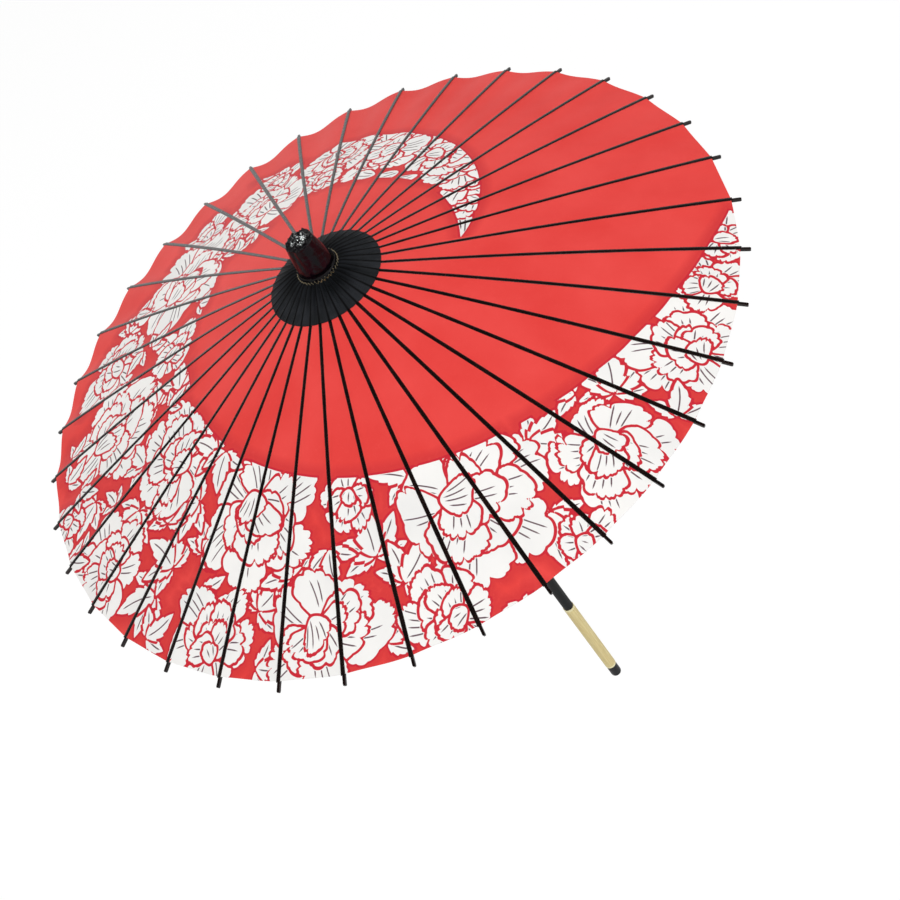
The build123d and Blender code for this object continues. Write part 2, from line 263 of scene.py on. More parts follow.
def disc_paper():
    """Black crepe paper, waxy in spots, with painted shade darkest along the crease over each rib."""
    finish = Finish("black_paper", **{"Specular IOR Level": 0.08})
    fibres = finish.noise(700.0, detail=5.0, rough=0.65, warp=0.8)
    cloud = finish.noise(45.0, detail=2.0)
    wax = finish.noise(420.0, rough=0.6, warp=0.6).above(0.58, 0.7)
    x, y, _ = finish.axes()
    turn = y.math("ARCTAN2", x)
    off_rib = (turn / math.radians(STEP) + (RIBS + 0.5)).math("FRACT") - 0.5
    # painted shade: the colour goes near-black along the crease over each rib
    crease_shade = 1.0 - off_rib.math("ABSOLUTE").above(0.06, 0.15)
    colour = finish.mix(cloud.above(0.35, 0.7), rgb(27, 29, 31), rgb(40, 42, 46))
    finish.set(
        Base_Color=finish.mix(crease_shade * 0.95, colour, rgb(5, 5, 6)),
        Roughness=0.5 + fibres * 0.2 - wax * 0.36,
    )
    finish.bump(fibres, 0.00018, 0.7)
    return finish.material


def cap_film():
    """Glossy near-black film drawn tight and tied, with a plum depth to it, and painted glints on its
    crumpled
    top: white metallic patches near the middle stand in for highlights."""
    finish = Finish("cap_film", **{"Specular IOR Level": 0.16, "Coat Roughness": 0.04})
    creases = finish.noise(110.0, warp=1.2)
    cloud = finish.noise(50.0, detail=2.0)
    x, y, height = finish.axes()
    off_axis = (x * x + y * y).math("SQRT")
    on_top = height.above(CAP_HIGH - 0.0045, CAP_HIGH - 0.0035)
    # painted glints: white metallic patches near the middle of the top stand in for its highlights
    glint_zone = on_top * (1.0 - off_axis.above(0.0075, 0.0105))
    painted_glints = glint_zone * finish.noise(260.0, detail=2.0, warp=1.5).above(0.52, 0.55)
    dark = finish.mix(cloud.above(0.5, 0.75), rgb(6, 3, 6), rgb(20, 4, 15))
    finish.set(
        Base_Color=finish.mix(painted_glints, dark, rgb(236, 240, 240)),
        Metallic=painted_glints,
        Roughness=0.06 + creases * 0.08,
        Coat_Weight=cloud * 0.1,
    )
    finish.bump(creases, 0.0007, 0.5)
    return finish.material


def tube_black():
    """Matte black coating on steel, with a fine texture."""
    finish = Finish("tube_black", **{"Specular IOR Level": 0.22})
    grain = finish.noise(1500.0, rough=0.6)
    rub = finish.noise(35.0, detail=4.0, rough=0.6, vector=finish.place((1, 1, 0.25)))
    finish.set(
        Base_Color=finish.mix(rub.above(0.5, 0.8), rgb(20, 23, 24), rgb(30, 33, 35)),
        Roughness=0.5 + grain * 0.15 - rub.above(0.55, 0.8) * 0.1,
    )
    finish.bump(grain, 0.00006, 0.5)
    return finish.material


def wood(name, light, dark, along=(1, 1, 0.04), scale=420.0, gloss=0.5):
    """Plain wood whose grain runs along its longest stretch, given by the small entry of `along`."""
    finish = Finish(name, **{"Specular IOR Level": 0.35})
    grain = finish.noise(scale, detail=5.0, rough=0.6, vector=finish.place(along), warp=0.5)
    figure = finish.noise(scale * 0.2, vector=finish.place(along), warp=0.8)
    pores = finish.noise(scale * 5.0, detail=2.0, rough=0.6, vector=finish.place(along)).above(0.6, 0.75)
    pore_colour = (*(c * 0.45 for c in dark[:3]), 1.0)
    colour = finish.mix(grain.above(0.3, 0.7), light, dark)
    colour = finish.mix(figure.above(0.45, 0.7) * 0.45, colour, dark)
    colour = finish.mix(pores * 0.25, colour, pore_colour)
    finish.set(Base_Color=colour, Roughness=gloss + grain * 0.16)
    finish.bump(grain * 0.7 - pores * 0.3, 0.00012, 0.6)
    return finish.material


def cream_ring():
    """Smooth cream plastic, faintly mottled."""
    finish = Finish("cream_ring", **{"Specular IOR Level": 0.4})
    mottle = finish.noise(500.0)
    finish.set(
        Base_Color=finish.mix(mottle.above(0.35, 0.7), rgb(240, 234, 190), rgb(228, 220, 168)),
        Roughness=0.36 + mottle * 0.2,
    )
    finish.bump(mottle, 0.00005, 0.4)
    return finish.material


def end_black():
    """Black moulded rubber with a few pale scuffs."""
    finish = Finish("end_black", **{"Specular IOR Level": 0.25})
    grain = finish.noise(1100.0, detail=4.0, rough=0.6)
    scuffs = finish.noise(140.0, detail=5.0, rough=0.7).above(0.6, 0.75)
    finish.set(
        Base_Color=finish.mix(scuffs * 0.6, rgb(16, 18, 22), rgb(38, 40, 44)),
        Roughness=0.38 + grain * 0.15 + scuffs * 0.15,
    )
    finish.bump(grain, 0.00008, 0.6)
    return finish.material


def metal(name, colour, worn, roughness):
    """Drawn metal with fine scratches along the shaft."""
    finish = Finish(name, Metallic=1.0)
    scratches = finish.noise(900.0, detail=4.0, rough=0.6, vector=finish.place((1, 1, 0.2)))
    finish.set(
        Base_Color=finish.mix(scratches.above(0.4, 0.7), colour, worn),
        Roughness=roughness + scratches * 0.2,
    )
    finish.bump(scratches, 0.00005, 0.4)
    return finish.material


def thread(name, light, dark):
    """Twisted thread: light and dark where its plies turn."""
    finish = Finish(name, **{"Specular IOR Level": 0.25})
    plies = finish.noise(1400.0, detail=2.0, warp=1.0)
    finish.set(
        Base_Color=finish.mix(plies.above(0.35, 0.65), light, dark),
        Roughness=0.62 + plies * 0.2,
    )
    finish.bump(plies, 0.0002, 0.8)
    return finish.material


# ---------------------------------------------------------------- meshes

SHARP = math.radians(50)  # faces that meet at more than this keep a sharp edge
UP = np.array([0, 0, 1.0])


def grid_faces(rows, columns, first=0, closed=False, flip=False):
    """Quads of a grid whose points are stored row by row; closed joins the last column to the first."""
    across = columns if closed else columns - 1
    i, j = np.meshgrid(np.arange(rows - 1), np.arange(across), indexing="ij")
    k = (j + 1) % columns
    quads = np.stack([i * columns + j, i * columns + k, (i + 1) * columns + k, (i + 1) * columns + j], -1)
    quads = quads.reshape(-1, 4) + first
    return quads[:, ::-1] if flip else quads


def new_piece(name, points, faces, finish, fields=None):
    """A mesh object from an array of points and a list of face arrays, smooth but for its sharp edges.
    `fields` are colour attributes, four numbers a point."""
    mesh = bpy.data.meshes.new(name)
    points = np.asarray(points, np.float32).reshape(-1, 3)
    sizes = np.concatenate([np.full(len(f), f.shape[1]) for f in faces])
    corners = np.concatenate([f.ravel() for f in faces])
    mesh.vertices.add(len(points))
    mesh.vertices.foreach_set("co", points.ravel())
    mesh.loops.add(len(corners))
    mesh.loops.foreach_set("vertex_index", corners.astype(np.int32))
    mesh.polygons.add(len(sizes))
    mesh.polygons.foreach_set("loop_start", (np.cumsum(sizes) - sizes).astype(np.int32))
    mesh.polygons.foreach_set("use_smooth", np.ones(len(sizes), bool))
    mesh.update(calc_edges=True)
    mesh.validate()
    mesh.set_sharp_from_angle(angle=SHARP)
    for field, values in (fields or {}).items():
        layer = mesh.attributes.new(field, "FLOAT_COLOR", "POINT")
        layer.data.foreach_set("color", np.asarray(values, np.float32).ravel())
    mesh.materials.append(finish)
    piece = bpy.data.objects.new(name, mesh)
    bpy.context.scene.collection.objects.link(piece)
    return piece


def shell(name, over, under, finish, fields=None):
    """A thin closed sheet: `over` and `under` are (rows, columns, 3) grids, walled along all edges.
    Rows run outwards and columns anticlockwise seen from above, so `over` faces up."""
    rows, columns = over.shape[:2]
    count = rows * columns
    index = np.arange(count).reshape(rows, columns)
    border = np.concatenate([index[0, :-1], index[:-1, -1], index[-1, :0:-1], index[:0:-1, 0]])
    after = np.roll(border, -1)
    wall = np.stack([border, border + count, after + count, after], -1)
    faces = [
        grid_faces(rows, columns, 0, flip=True),
        grid_faces(rows, columns, count),
        wall,
    ]
    points = np.concatenate([over.reshape(-1, 3), under.reshape(-1, 3)])
    doubled = {k: np.concatenate([v, v]) for k, v in (fields or {}).items()}
    return new_piece(name, points, faces, finish, doubled)


def tube_mesh(name, rings, finish):
    """A closed tube: `rings` is (rows, columns, 3), each row one ring, with a fan over each end."""
    rows, columns = rings.shape[:2]
    points = np.concatenate([rings.reshape(-1, 3), rings[:1].mean(1), rings[-1:].mean(1)])
    j = np.arange(columns)
    k = (j + 1) % columns
    last = (rows - 1) * columns
    start = np.stack([k, j, np.full(columns, rows * columns)], -1)
    end = np.stack([last + j, last + k, np.full(columns, rows * columns + 1)], -1)
    return new_piece(name, points, [grid_faces(rows, columns, closed=True), start, end], finish)


def closed_ring(name, section, finish, flip=False):
    """A ring whose section is closed too: `section` is (rows, columns, 3), and in both directions the
    last points join the first."""
    rows, columns = section.shape[:2]
    faces = grid_faces(rows + 1, columns, closed=True, flip=flip) % (rows * columns)
    return new_piece(name, section, [faces], finish)


def rib_directions(azimuth):
    """Level unit vectors outwards along a rib and sideways from it, for its azimuth in degrees."""
    turn = math.radians(azimuth)
    outward = np.array([math.cos(turn), math.sin(turn), 0])
    sideways = np.array([-math.sin(turn), math.cos(turn), 0])
    return outward, sideways


def polar(radius, azimuth, height):
    """Points from radius, azimuth in degrees and height, as arrays that match."""
    turn = np.radians(azimuth)
    return np.stack(np.broadcast_arrays(radius * np.cos(turn), radius * np.sin(turn), height), -1)


def back_height(radius, lift):
    """Height of the curve `lift` over the ribs' backs: an arc round the bow's centre."""
    reach = BOW_R + RIB_BACK + lift
    return BOW_Z + np.sqrt(reach**2 - (radius - BOW_X) ** 2)


SLACK_SIDE = 148.0  # the sheet is slackest at this azimuth
SLACK_MOST, SLACK_LEAST = 0.0062, 0.0016


def sheet_drop(radius, azimuth):
    """How far the sheet sags below the ribs' backs: nothing at a rib, then a lopsided wave to the
    next, sin(pi b) - 0.42 sin(2 pi b) for b from 0 to 1 between them. It grows from the disc's rim to
    the sheet's as a share to the power 1.8, and is deepest on the slack side."""
    between = (azimuth / STEP) % 1.0
    wave = np.sin(np.pi * between) - 0.42 * np.sin(2 * np.pi * between)
    facing = np.clip(np.cos(np.radians(azimuth - SLACK_SIDE)), 0, None) ** 1.4
    slack = SLACK_LEAST + (SLACK_MOST - SLACK_LEAST) * facing
    growth = np.clip((radius - DISC_RIM) / (RIM - DISC_RIM), 0, 1) ** 1.8
    return slack * growth * wave


def rim_radius(azimuth):
    """The rim runs straight from rib to rib: its radius is the one half way between them over the
    cosine of the angle off that half way line."""
    off = ((azimuth / STEP) % 1.0 - 0.5) * STEP
    return RIM * math.cos(math.radians(STEP / 2)) / np.cos(np.radians(off))


# ---------------------------------------------------------------- the print

TIP_AZIMUTH = 31.6  # where the swirl's sharp end is
TIP_SHARE = 0.344  # and how far out, as a share of the ribs' tips
OUTLINE = 3.0  # red line between petals, in millimetres
FINE = 1.3  # millimetres between the sheet's points where it is printed

# Flowers of the swirl: azimuth in degrees, radius as a share of the ribs' tips, size in millimetres
FLOWERS = (
    (52, 0.41, 30), (62, 0.45, 34), (72, 0.485, 42), (84, 0.53, 50), (104, 0.567, 58), (120, 0.64, 46),
    (124, 0.52, 30), (143.5, 0.585, 60), (136, 0.72, 28), (156, 0.752, 34), (158, 0.55, 26),
    (173, 0.64, 72), (192.5, 0.788, 50), (199, 0.523, 36), (211.5, 0.755, 68), (237.5, 0.568, 60),
    (238.5, 0.89, 56), (222, 0.95, 32), (270.7, 0.604, 66), (267, 0.91, 50), (287, 0.886, 64),
    (294.5, 0.595, 30), (317.5, 0.722, 78), (307, 0.935, 46), (340, 0.861, 62), (328, 0.96, 30),
    (1, 0.902, 58), (13, 0.91, 36), (22.5, 0.943, 34),
)
# Leaves that lie between them: azimuth, radius share, heading of the leaf in degrees, length
LEAVES = (
    (298, 0.74, 130, 56), (302, 0.82, 80, 52), (275, 0.82, 60, 50), (281, 0.75, 150, 46),
    (252, 0.86, 200, 56), (253, 0.78, 150, 52), (259, 0.72, 60, 46), (236.5, 0.735, 260, 54),
    (224, 0.84, 250, 44), (349, 0.79, 120, 54), (333, 0.71, 20, 52), (327, 0.86, 300, 54),
    (214.5, 0.575, 170, 48), (216, 0.49, 120, 44), (252, 0.62, 200, 52), (246, 0.70, 100, 44),
    (183, 0.79, 80, 44), (150, 0.68, 60, 38), (139, 0.80, 100, 32), (162, 0.53, 230, 38),
    (204, 0.63, 260, 44), (228, 0.66, 150, 44), (309, 0.60, 190, 42), (6, 0.80, 150, 40),
    (18, 0.87, 100, 34), (131, 0.56, 250, 34), (289, 0.70, 300, 40), (262, 0.80, 330, 40),
    (230, 0.94, 20, 36), (254, 0.95, 40, 40), (276, 0.95, 10, 40), (297, 0.93, 60, 40),
)


def swirl_inner(turn):
    """Inner edge of the printed swirl, as a share of the tips' radius, by the angle turned."""
    past = np.clip(turn - 212.0, 0, None)
    start = TIP_SHARE + 0.108 * np.clip((turn - TIP_AZIMUTH) / 110.0, 0, 1) ** 1.15
    return start + 1.35e-5 * past**2 + 0.10 * (past / 177.0) ** 7


def swirl_outer(turn):
    """Outer edge of the swirl: it leaves the tip along an even spiral, and soon passes the rim."""
    return TIP_SHARE + 0.0044 * (turn - TIP_AZIMUTH)


def swirl_turn(azimuth):
    """The angle turned along the swirl, from its tip on."""
    around = azimuth % 360.0
    return np.where(around < TIP_AZIMUTH, around + 360.0, around)


class Print:
    """Fields over the plan of the sheet, in millimetres: edge is the distance inside the nearest white
    shape (negative in the red), phase counts strokes across a petal, pitch is their spacing, and
    stroke is the distance from a stroke's nearer end (negative beyond it)."""

    SPREAD = 16.0  # how far past a shape its edge is still worked out
    FAR = -60.0  # edge where no shape is near
    NO_STROKE = -9.0

    def __init__(self, x, y):
        self.x, self.y = x, y
        self.edge = np.full(x.shape, self.FAR)
        self.phase = np.zeros(x.shape)
        self.pitch = np.full(x.shape, 10.0)
        self.stroke = np.full(x.shape, self.NO_STROKE)
        self.random = np.random.default_rng(36)

    def lay(self, base, heading, length, width, shape, **details):
        """Lays one petal or leaf over what is there, with a red outline round it."""
        turn = math.radians(heading)
        ahead = np.array([math.cos(turn), math.sin(turn)])
        middle = np.asarray(base) + ahead * length / 2
        reach = 0.62 * max(length, width) + self.SPREAD
        near = np.flatnonzero((self.x - middle[0]) ** 2 + (self.y - middle[1]) ** 2 < reach**2)
        if not near.size:
            return
        x, y = self.x[near] - base[0], self.y[near] - base[1]
        along = (x * ahead[0] + y * ahead[1]) / length
        across = (y * ahead[0] - x * ahead[1]) / length
        depth, phase, pitch, stroke = shape(self, along, across, length, width / length, **details)
        self.edge[near] = np.maximum(np.minimum(self.edge[near], -depth - OUTLINE), depth)
        ours = depth > -OUTLINE / 2
        at = near[ours]
        self.phase[at] = phase[ours]
        self.pitch[at] = pitch[ours]
        self.stroke[at] = stroke[ours]

    def petal(self, along, across, length, slim, lobes=6, strokes=3, bend=0.0, ragged=0.15):
        """A curved fan whose outer edge has uneven round lobes: in polar form about its middle the
        edge is an ellipse, cut in where |sin(lobes x angle / 2)| is near 0, and ruffled a little more
        finely. Its strokes fan out from behind its base and curve with it."""
        middle, half_long, behind = 0.53, 0.47, 0.35  # as shares of the petal's length
        stroke_gap = 7.0
        across = across - bend * along**2
        narrow = 0.6 + 0.4 * np.clip(along / 0.6, 0, 1)
        half_wide = 0.5 * slim * narrow
        u, v = (along - middle) / half_long, across / half_wide
        angle = np.arctan2(v, u)
        shift = self.random.uniform(0, math.pi)
        uneven = angle + 0.35 * np.sin(2 * angle + 2.3 * shift)
        lobe = (1 - np.abs(np.sin(lobes * uneven / 2 + shift))) ** 1.7
        lobe = lobe * (1 + 0.5 * np.sin(3 * angle + 4 * shift))
        ruffle = (1 - np.abs(np.sin(1.7 * lobes * uneven / 2 + 5 * shift))) ** 2
        front = np.clip(np.cos(angle) * 0.8 + 0.5, 0, 1)
        swell = 0.06 * np.sin(2 * angle + shift * 3) + 0.04 * np.sin(3 * angle + shift * 7)
        edge = 1.0 + swell - (ragged * lobe + 0.06 * ruffle) * front
        reach = np.hypot(half_long * np.cos(angle), half_wide * np.sin(angle))
        depth = (edge - np.hypot(u, v)) * reach * length
        spread = stroke_gap / length
        theta = np.arctan2(across, along + behind)
        offset = self.random.uniform(0, 1)
        phase = theta / spread + offset
        pitch = np.hypot(across, along + behind) * spread * length
        line = np.floor(phase).astype(int)
        low, count = line.min(), np.ptp(line) + 1
        starts = self.random.uniform(0.08, 0.36, count)[line - low]
        ends = self.random.uniform(0.72, 0.9, count)[line - low]
        shown = np.abs(line + 0.5 - offset) <= strokes / 2
        past_end = np.minimum(along - starts, ends - along) * length
        return depth, phase, pitch, np.where(shown, past_end, self.NO_STROKE)

    def lance(self, along, across, length, slim):
        """A pointed lobe of a leaf: its half width is half a sine wave along it, cut into teeth that
        lean forward. Its one stroke is the midrib."""
        inside = np.clip(along, 0, 1)
        across = across + 0.06 * np.sin(np.pi * inside)
        teeth = 0.84 + 0.34 * ((inside * 4.2 + 0.12 * np.sign(across)) % 1.0) * (1 - inside**4)
        half = 0.5 * slim * np.sin(np.pi * inside**0.72) ** 0.85 * teeth
        past = np.abs(along - inside)
        depth = np.where(past > 0, -np.hypot(past, across), (half - np.abs(across)) * 0.85) * length
        spread = 0.9 * slim  # wide enough that only the midrib lies on the leaf
        phase = across / spread + 0.5
        pitch = np.full(along.shape, spread * length)
        stroke = np.minimum(along - 0.06, 0.84 - along) * length
        return depth, phase, pitch, stroke

    def flower(self, x, y, size):
        """A peony seen half from the side: rings of large petals from the outside in, each ring shorter
        and turned, about an off-centre heart. The petals behind the heart are the longer ones."""
        random = self.random
        lean, start = random.uniform(0, 360, 2)
        toward = np.array([math.cos(math.radians(lean)), math.sin(math.radians(lean))])
        # Rings of petals: how many, how far out they start, their length and width, as shares of size
        rings = (
            (6, 0.20, 0.88, 0.90), (4, 0.02, 0.72, 0.78), (3, -0.08, 0.54, 0.60), (1, -0.18, 0.42, 0.46)
        )
        small = size < 45
        if small:
            rings = ((5, 0.14, 0.90, 1.0), (3, -0.04, 0.70, 0.80), (1, -0.16, 0.5, 0.56))
        for ring, (count, offset, length, width) in enumerate(rings):
            middle = np.array([x, y]) - toward * 0.2 * size * ring / (len(rings) - 1)
            for n in random.permutation(count):
                share = (n + 0.5 + random.uniform(-0.2, 0.2)) / count - 0.5
                heading = start + 360 * share if ring == 0 else lean + (280 - 50 * ring) * share
                turn = math.radians(heading)
                base = middle + offset * size * np.array([math.cos(turn), math.sin(turn)])
                scale = random.uniform(0.86, 1.08) * (1 + 0.16 * math.cos(turn - math.radians(lean)))
                self.lay(
                    base, heading, length * size * scale, width * size * random.uniform(0.85, 1.15),
                    Print.petal, lobes=random.integers(8, 13), bend=random.uniform(-0.35, 0.35),
                    strokes=random.integers(2, 5), ragged=random.uniform(0.12, 0.22),
                )

    def leaf(self, x, y, heading, length):
        """Three or five pointed lobes from one stalk."""
        spread = (-95, 95, -50, 50, 0) if length > 43 else (-62, 62, 0)
        for side in spread:
            reach = length * (1 - abs(side) / 260)
            self.lay((x, y), heading + side, reach, reach * 0.46, Print.lance)

    def plan(self, azimuth, share):
        """Millimetres along x and y, from an azimuth and a share of the tips' radius."""
        radius = share * TIP / MM
        return radius * math.cos(math.radians(azimuth)), radius * math.sin(math.radians(azimuth))

    def gap(self, x, y):
        """How far the nearest white is from a point, when the point is red."""
        nearest = np.argmin((self.x - x) ** 2 + (self.y - y) ** 2)
        return -self.edge[nearest]

    def fill(self):
        """Small leaves where a wide stretch of the swirl is still red, and petals in its narrow start.
        On the far side the swirl's outer part stays bare."""
        random = self.random
        narrow_till, bare_till = 112, 215
        for turn in np.arange(34.0, 388.0, 4.5):
            inner, outer = swirl_inner(turn) + 0.02, min(swirl_outer(turn), 0.98)
            for share in np.arange(inner, outer, 0.05):
                if narrow_till < turn < bare_till and share > 0.30 + 0.0030 * turn:
                    continue
                x, y = self.plan(turn + random.uniform(-1.5, 1.5), share + random.uniform(-0.01, 0.01))
                red = self.gap(x, y)
                if turn < narrow_till and red > 2.5:
                    self.lay((x, y), turn + random.uniform(40, 140), 30, 22, Print.petal, lobes=9)
                elif red > 7.0:
                    self.leaf(x, y, random.uniform(0, 360), min(42, random.uniform(2.4, 3.2) * red + 8))

    def clip(self):
        """Cuts the shapes off along the swirl's two edges. On the far side the flowers stand a little
        past the inner one."""
        radius = np.hypot(self.x, self.y) * MM / TIP
        turn = swirl_turn(np.degrees(np.arctan2(self.y, self.x)))
        loose = 0.03 * np.clip(1 - np.abs(turn - 162) / 50, 0, 1)
        inside = np.minimum(radius - swirl_inner(turn) + loose, swirl_outer(turn) - radius)
        self.edge = np.minimum(self.edge, inside * TIP / MM)

    def draw(self):
        """The whole print: the long petal at the swirl's tip, leaves, flowers over them, then fillers."""
        self.lay(self.plan(29, 0.336), 113, 88, 46, Print.petal, strokes=4, bend=0.26)
        for azimuth, share, heading, length in LEAVES:
            self.leaf(*self.plan(azimuth, share), heading, length)
        for azimuth, share, size in FLOWERS:
            self.flower(*self.plan(azimuth, share), size)
        self.fill()
        self.clip()
        return np.stack([self.edge, self.phase, self.pitch, self.stroke], -1)


# ---------------------------------------------------------------- the sheet and what rides on the ribs


def sector_rows(number):
    """Radii of a sector's rows, as shares of its length, close together where it is printed, and how
    many columns it has, which is odd so that one runs along the rib."""
    margin = 0.003
    azimuths = swirl_turn((number + np.linspace(-0.5, 0.5, 21)) * STEP)
    inner, outer = swirl_inner(azimuths), np.clip(swirl_outer(azimuths), 0, RIM / TIP)
    spans = [(inner.min(), outer.max())]
    if np.ptp(azimuths) > 180:
        late = azimuths > 360
        spans = [(inner[~late].min(), outer[~late].max()), (inner[late].min(), outer[late].max())]
    coarse = np.linspace(SHEET_INNER, RIM, 60)
    fine = [np.arange(a * TIP - margin, min(b * TIP + margin, RIM), FINE * MM) for a, b in spans]
    radii = np.unique(np.concatenate([coarse, *fine]))
    radii = radii[np.concatenate([[True], np.diff(radii) > 0.3 * FINE * MM])]
    radii[-1] = RIM
    widest = max(min(b * TIP, RIM) for a, b in spans)
    columns = int(math.ceil(widest * math.radians(STEP) / (FINE * MM)))
    return (radii - SHEET_INNER) / (RIM - SHEET_INNER), 2 * (columns // 2) + 1


def sector_grid(number):
    """One rib's share of the sheet: radius and azimuth over a grid of rows outwards and columns round."""
    shares, columns = sector_rows(number)
    azimuth = (number + np.linspace(-0.5, 0.5, columns)) * STEP
    azimuth = np.broadcast_to(azimuth, (len(shares), columns))
    radius = SHEET_INNER + shares[:, None] * (rim_radius(azimuth) - SHEET_INNER)
    return radius, azimuth


def fold_with_rib(piece, number):
    """The piece turns with its rib, on whose body it rides with a mesh of its own. It works out how near
    the shaft a slack sector would lie when closed, and its rib's turn, but doesn't narrow the piece."""
    azimuths = (number + np.linspace(-0.5, 0.5, 21)) * STEP
    inmost = CLOSED_R - sheet_drop(RIM, azimuths).max()
    turn = math.radians(number * STEP)
    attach(piece, f"rib_{number + 1:02d}")
    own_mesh(piece)


def make_sheet(paper):
    """The printed sheet, in one sector for each rib so that it can fold: each runs half way to the
    ribs beside its own, and all of them lie on one curved surface."""
    grids = [sector_grid(number) for number in range(RIBS)]
    flat = np.concatenate([polar(r, a, 0.0)[..., :2].reshape(-1, 2) for r, a in grids]) / MM
    field = Print(flat[:, 0], flat[:, 1]).draw()
    first = 0
    for number, (radius, azimuth) in enumerate(grids):
        drop = sheet_drop(radius, azimuth)
        over = polar(radius, azimuth, back_height(radius, SHEET_GAP + SHEET_THICK) - drop)
        under = polar(radius, azimuth, back_height(radius, SHEET_GAP) - drop)
        count = radius.size
        fields = {"print_field": field[first:first + count]}
        first += count
        sector = shell(f"sheet_{number + 1:02d}", over, under, paper, fields)
        fold_with_rib(sector, number)
        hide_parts("canopy")
        f"rib_{number + 1:02d}"


def ridge(name, radii, azimuth, widths, height, lift, finish):
    """A low rounded ridge along a rib: its section is half an ellipse on a narrower foot."""
    angle = np.linspace(0, np.pi, 9)
    side = np.concatenate([np.cos(angle), [-0.5, 0.5]])
    rise = np.concatenate([np.sin(angle), [-0.25, -0.25]])
    outward, sideways = rib_directions(azimuth)
    middle = outward * radii[:, None] + UP * back_height(radii, lift)[:, None]
    rings = (
        middle[:, None]
        + sideways * (side * widths[:, None] / 2)[..., None]
        + UP * (rise * height)[:, None]
    )
    return tube_mesh(name, rings[:, ::-1], finish)


def make_rib_lines(black):
    """The lacquer brushed over the sheet along each rib, from under the disc to just past the rim. It
    widens outwards, and its edges wander by a sine wave of its own."""
    random = np.random.default_rng(5)
    start, past_rim = 0.045, 0.0012
    inner_width, widening, wander = 0.0037, 0.0011, 0.00012
    radii = np.linspace(start, RIM + past_rim, 90)
    share = (radii - radii[0]) / np.ptp(radii)
    for number in range(RIBS):
        uneven = wander * np.sin(radii * 160 + random.uniform(0, 6)) * random.uniform(0.5, 1.5)
        widths = inner_width + widening * share + uneven
        line = ridge(
            f"lacquer_line_{number + 1:02d}", radii, number * STEP, widths, LACQUER_HIGH,
            SHEET_GAP + SHEET_THICK, black,
        )
        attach(line, f"rib_{number + 1:02d}")


def make_rim_threads(red):
    """The thread under the rim's edge, in one length for each rib: a round tube along the sheet."""
    half = 0.0003
    angle = np.linspace(0, 2 * np.pi, 8, endpoint=False)
    for number in range(RIBS):
        azimuth = (number + np.linspace(-0.5, 0.5, 25)) * STEP
        edge = rim_radius(azimuth)
        height = back_height(edge, SHEET_GAP) - sheet_drop(edge, azimuth) - half
        radius = edge - 2 * half
        rings = polar(
            radius[:, None] + half * np.cos(angle), azimuth[:, None],
            height[:, None] + half * np.sin(angle),
        )
        piece = tube_mesh(f"rim_thread_{number + 1:02d}", rings, red)
        fold_with_rib(piece, number)
        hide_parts("rim_thread")


def disc_height(radius, azimuth):
    """The pleated disc: a cone from the head's flange to the sheet, with a crest over each rib, a deep
    fold between two and a shallow one on each side of it. All are narrow bell curves across the
    pleat, uneven round the disc, and they fade towards the rim."""
    flat = HINGE_Z + DISC_RISE
    rim = back_height(DISC_RIM, SHEET_GAP + SHEET_THICK + LACQUER_HIGH)
    share = np.clip((radius - DISC_SPLIT) / (DISC_RIM - DISC_SPLIT), 0, 1)
    off_rib = np.abs((azimuth / STEP + 0.5) % 1.0 - 0.5)
    crest = np.exp(-((off_rib / 0.13) ** 2))
    fold = np.exp(-(((off_rib - 0.5) / 0.1) ** 2)) + 0.5 * np.exp(-(((off_rib - 0.29) / 0.06) ** 2))
    high = 0.0008 + 0.0030 * (1 - share) ** 1.2
    deep = 0.0004 + 0.0032 * (1 - share) ** 1.3
    uneven = 1 + 0.3 * np.sin(azimuth * 0.31) * np.sin(azimuth * 0.11 + 1)
    pleats = (high * crest - deep * fold) * uneven * np.clip(0.5 + 3 * share, 0, 1)
    return flat + (rim - flat) * share**1.04 + pleats


def make_disc(paper):
    """The pleated disc: a collar that stays on the head, and a pleat over each rib that folds."""

    def pleats(radii, azimuths):
        """The paper's upper and lower grids."""
        radius, azimuth = np.meshgrid(radii, azimuths, indexing="ij")
        height = disc_height(radius, azimuth)
        return polar(radius, azimuth, height), polar(radius, azimuth, height - DISC_THICK)

    for number in range(RIBS):
        azimuths = (number + np.linspace(-0.5, 0.5, 33)) * STEP
        over, under = pleats(np.linspace(DISC_SPLIT, DISC_RIM, 26), azimuths)
        pleat = shell(f"disc_pleat_{number + 1:02d}", over, under, paper)
        fold_with_rib(pleat, number)
        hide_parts("ceiling_disc")
    azimuths = np.linspace(0, 360, RIBS * 32 + 1)
    over, under = pleats(np.linspace(DISC_INNER, DISC_SPLIT, 8), azimuths)
    section = np.concatenate([over, under[::-1]])
    collar = closed_ring("disc_collar", section[:, :-1], paper, flip=True)
    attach(collar, "shaft")
    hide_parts("ceiling_disc")


def make_disc_stitches(cord):
    """The thread laced through the disc round the cap: a ring that rises over each crest and dips under
    the paper between two, as the cosine of 36 turns."""
    radius, half, lift, rise = DISC_SPLIT - 0.0006, 0.00032, 0.0002, 0.0006
    azimuth = np.linspace(0, 360, RIBS * 12, endpoint=False)
    angle = np.linspace(0, 2 * np.pi, 8, endpoint=False)
    height = disc_height(radius, azimuth) + lift + rise * np.cos(np.radians(azimuth * RIBS))
    rings = polar(
        radius + half * np.cos(angle), azimuth[:, None], height[:, None] + half * np.sin(angle)
    )
    stitches = closed_ring("disc_stitches", rings, cord)
    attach(stitches, "shaft")


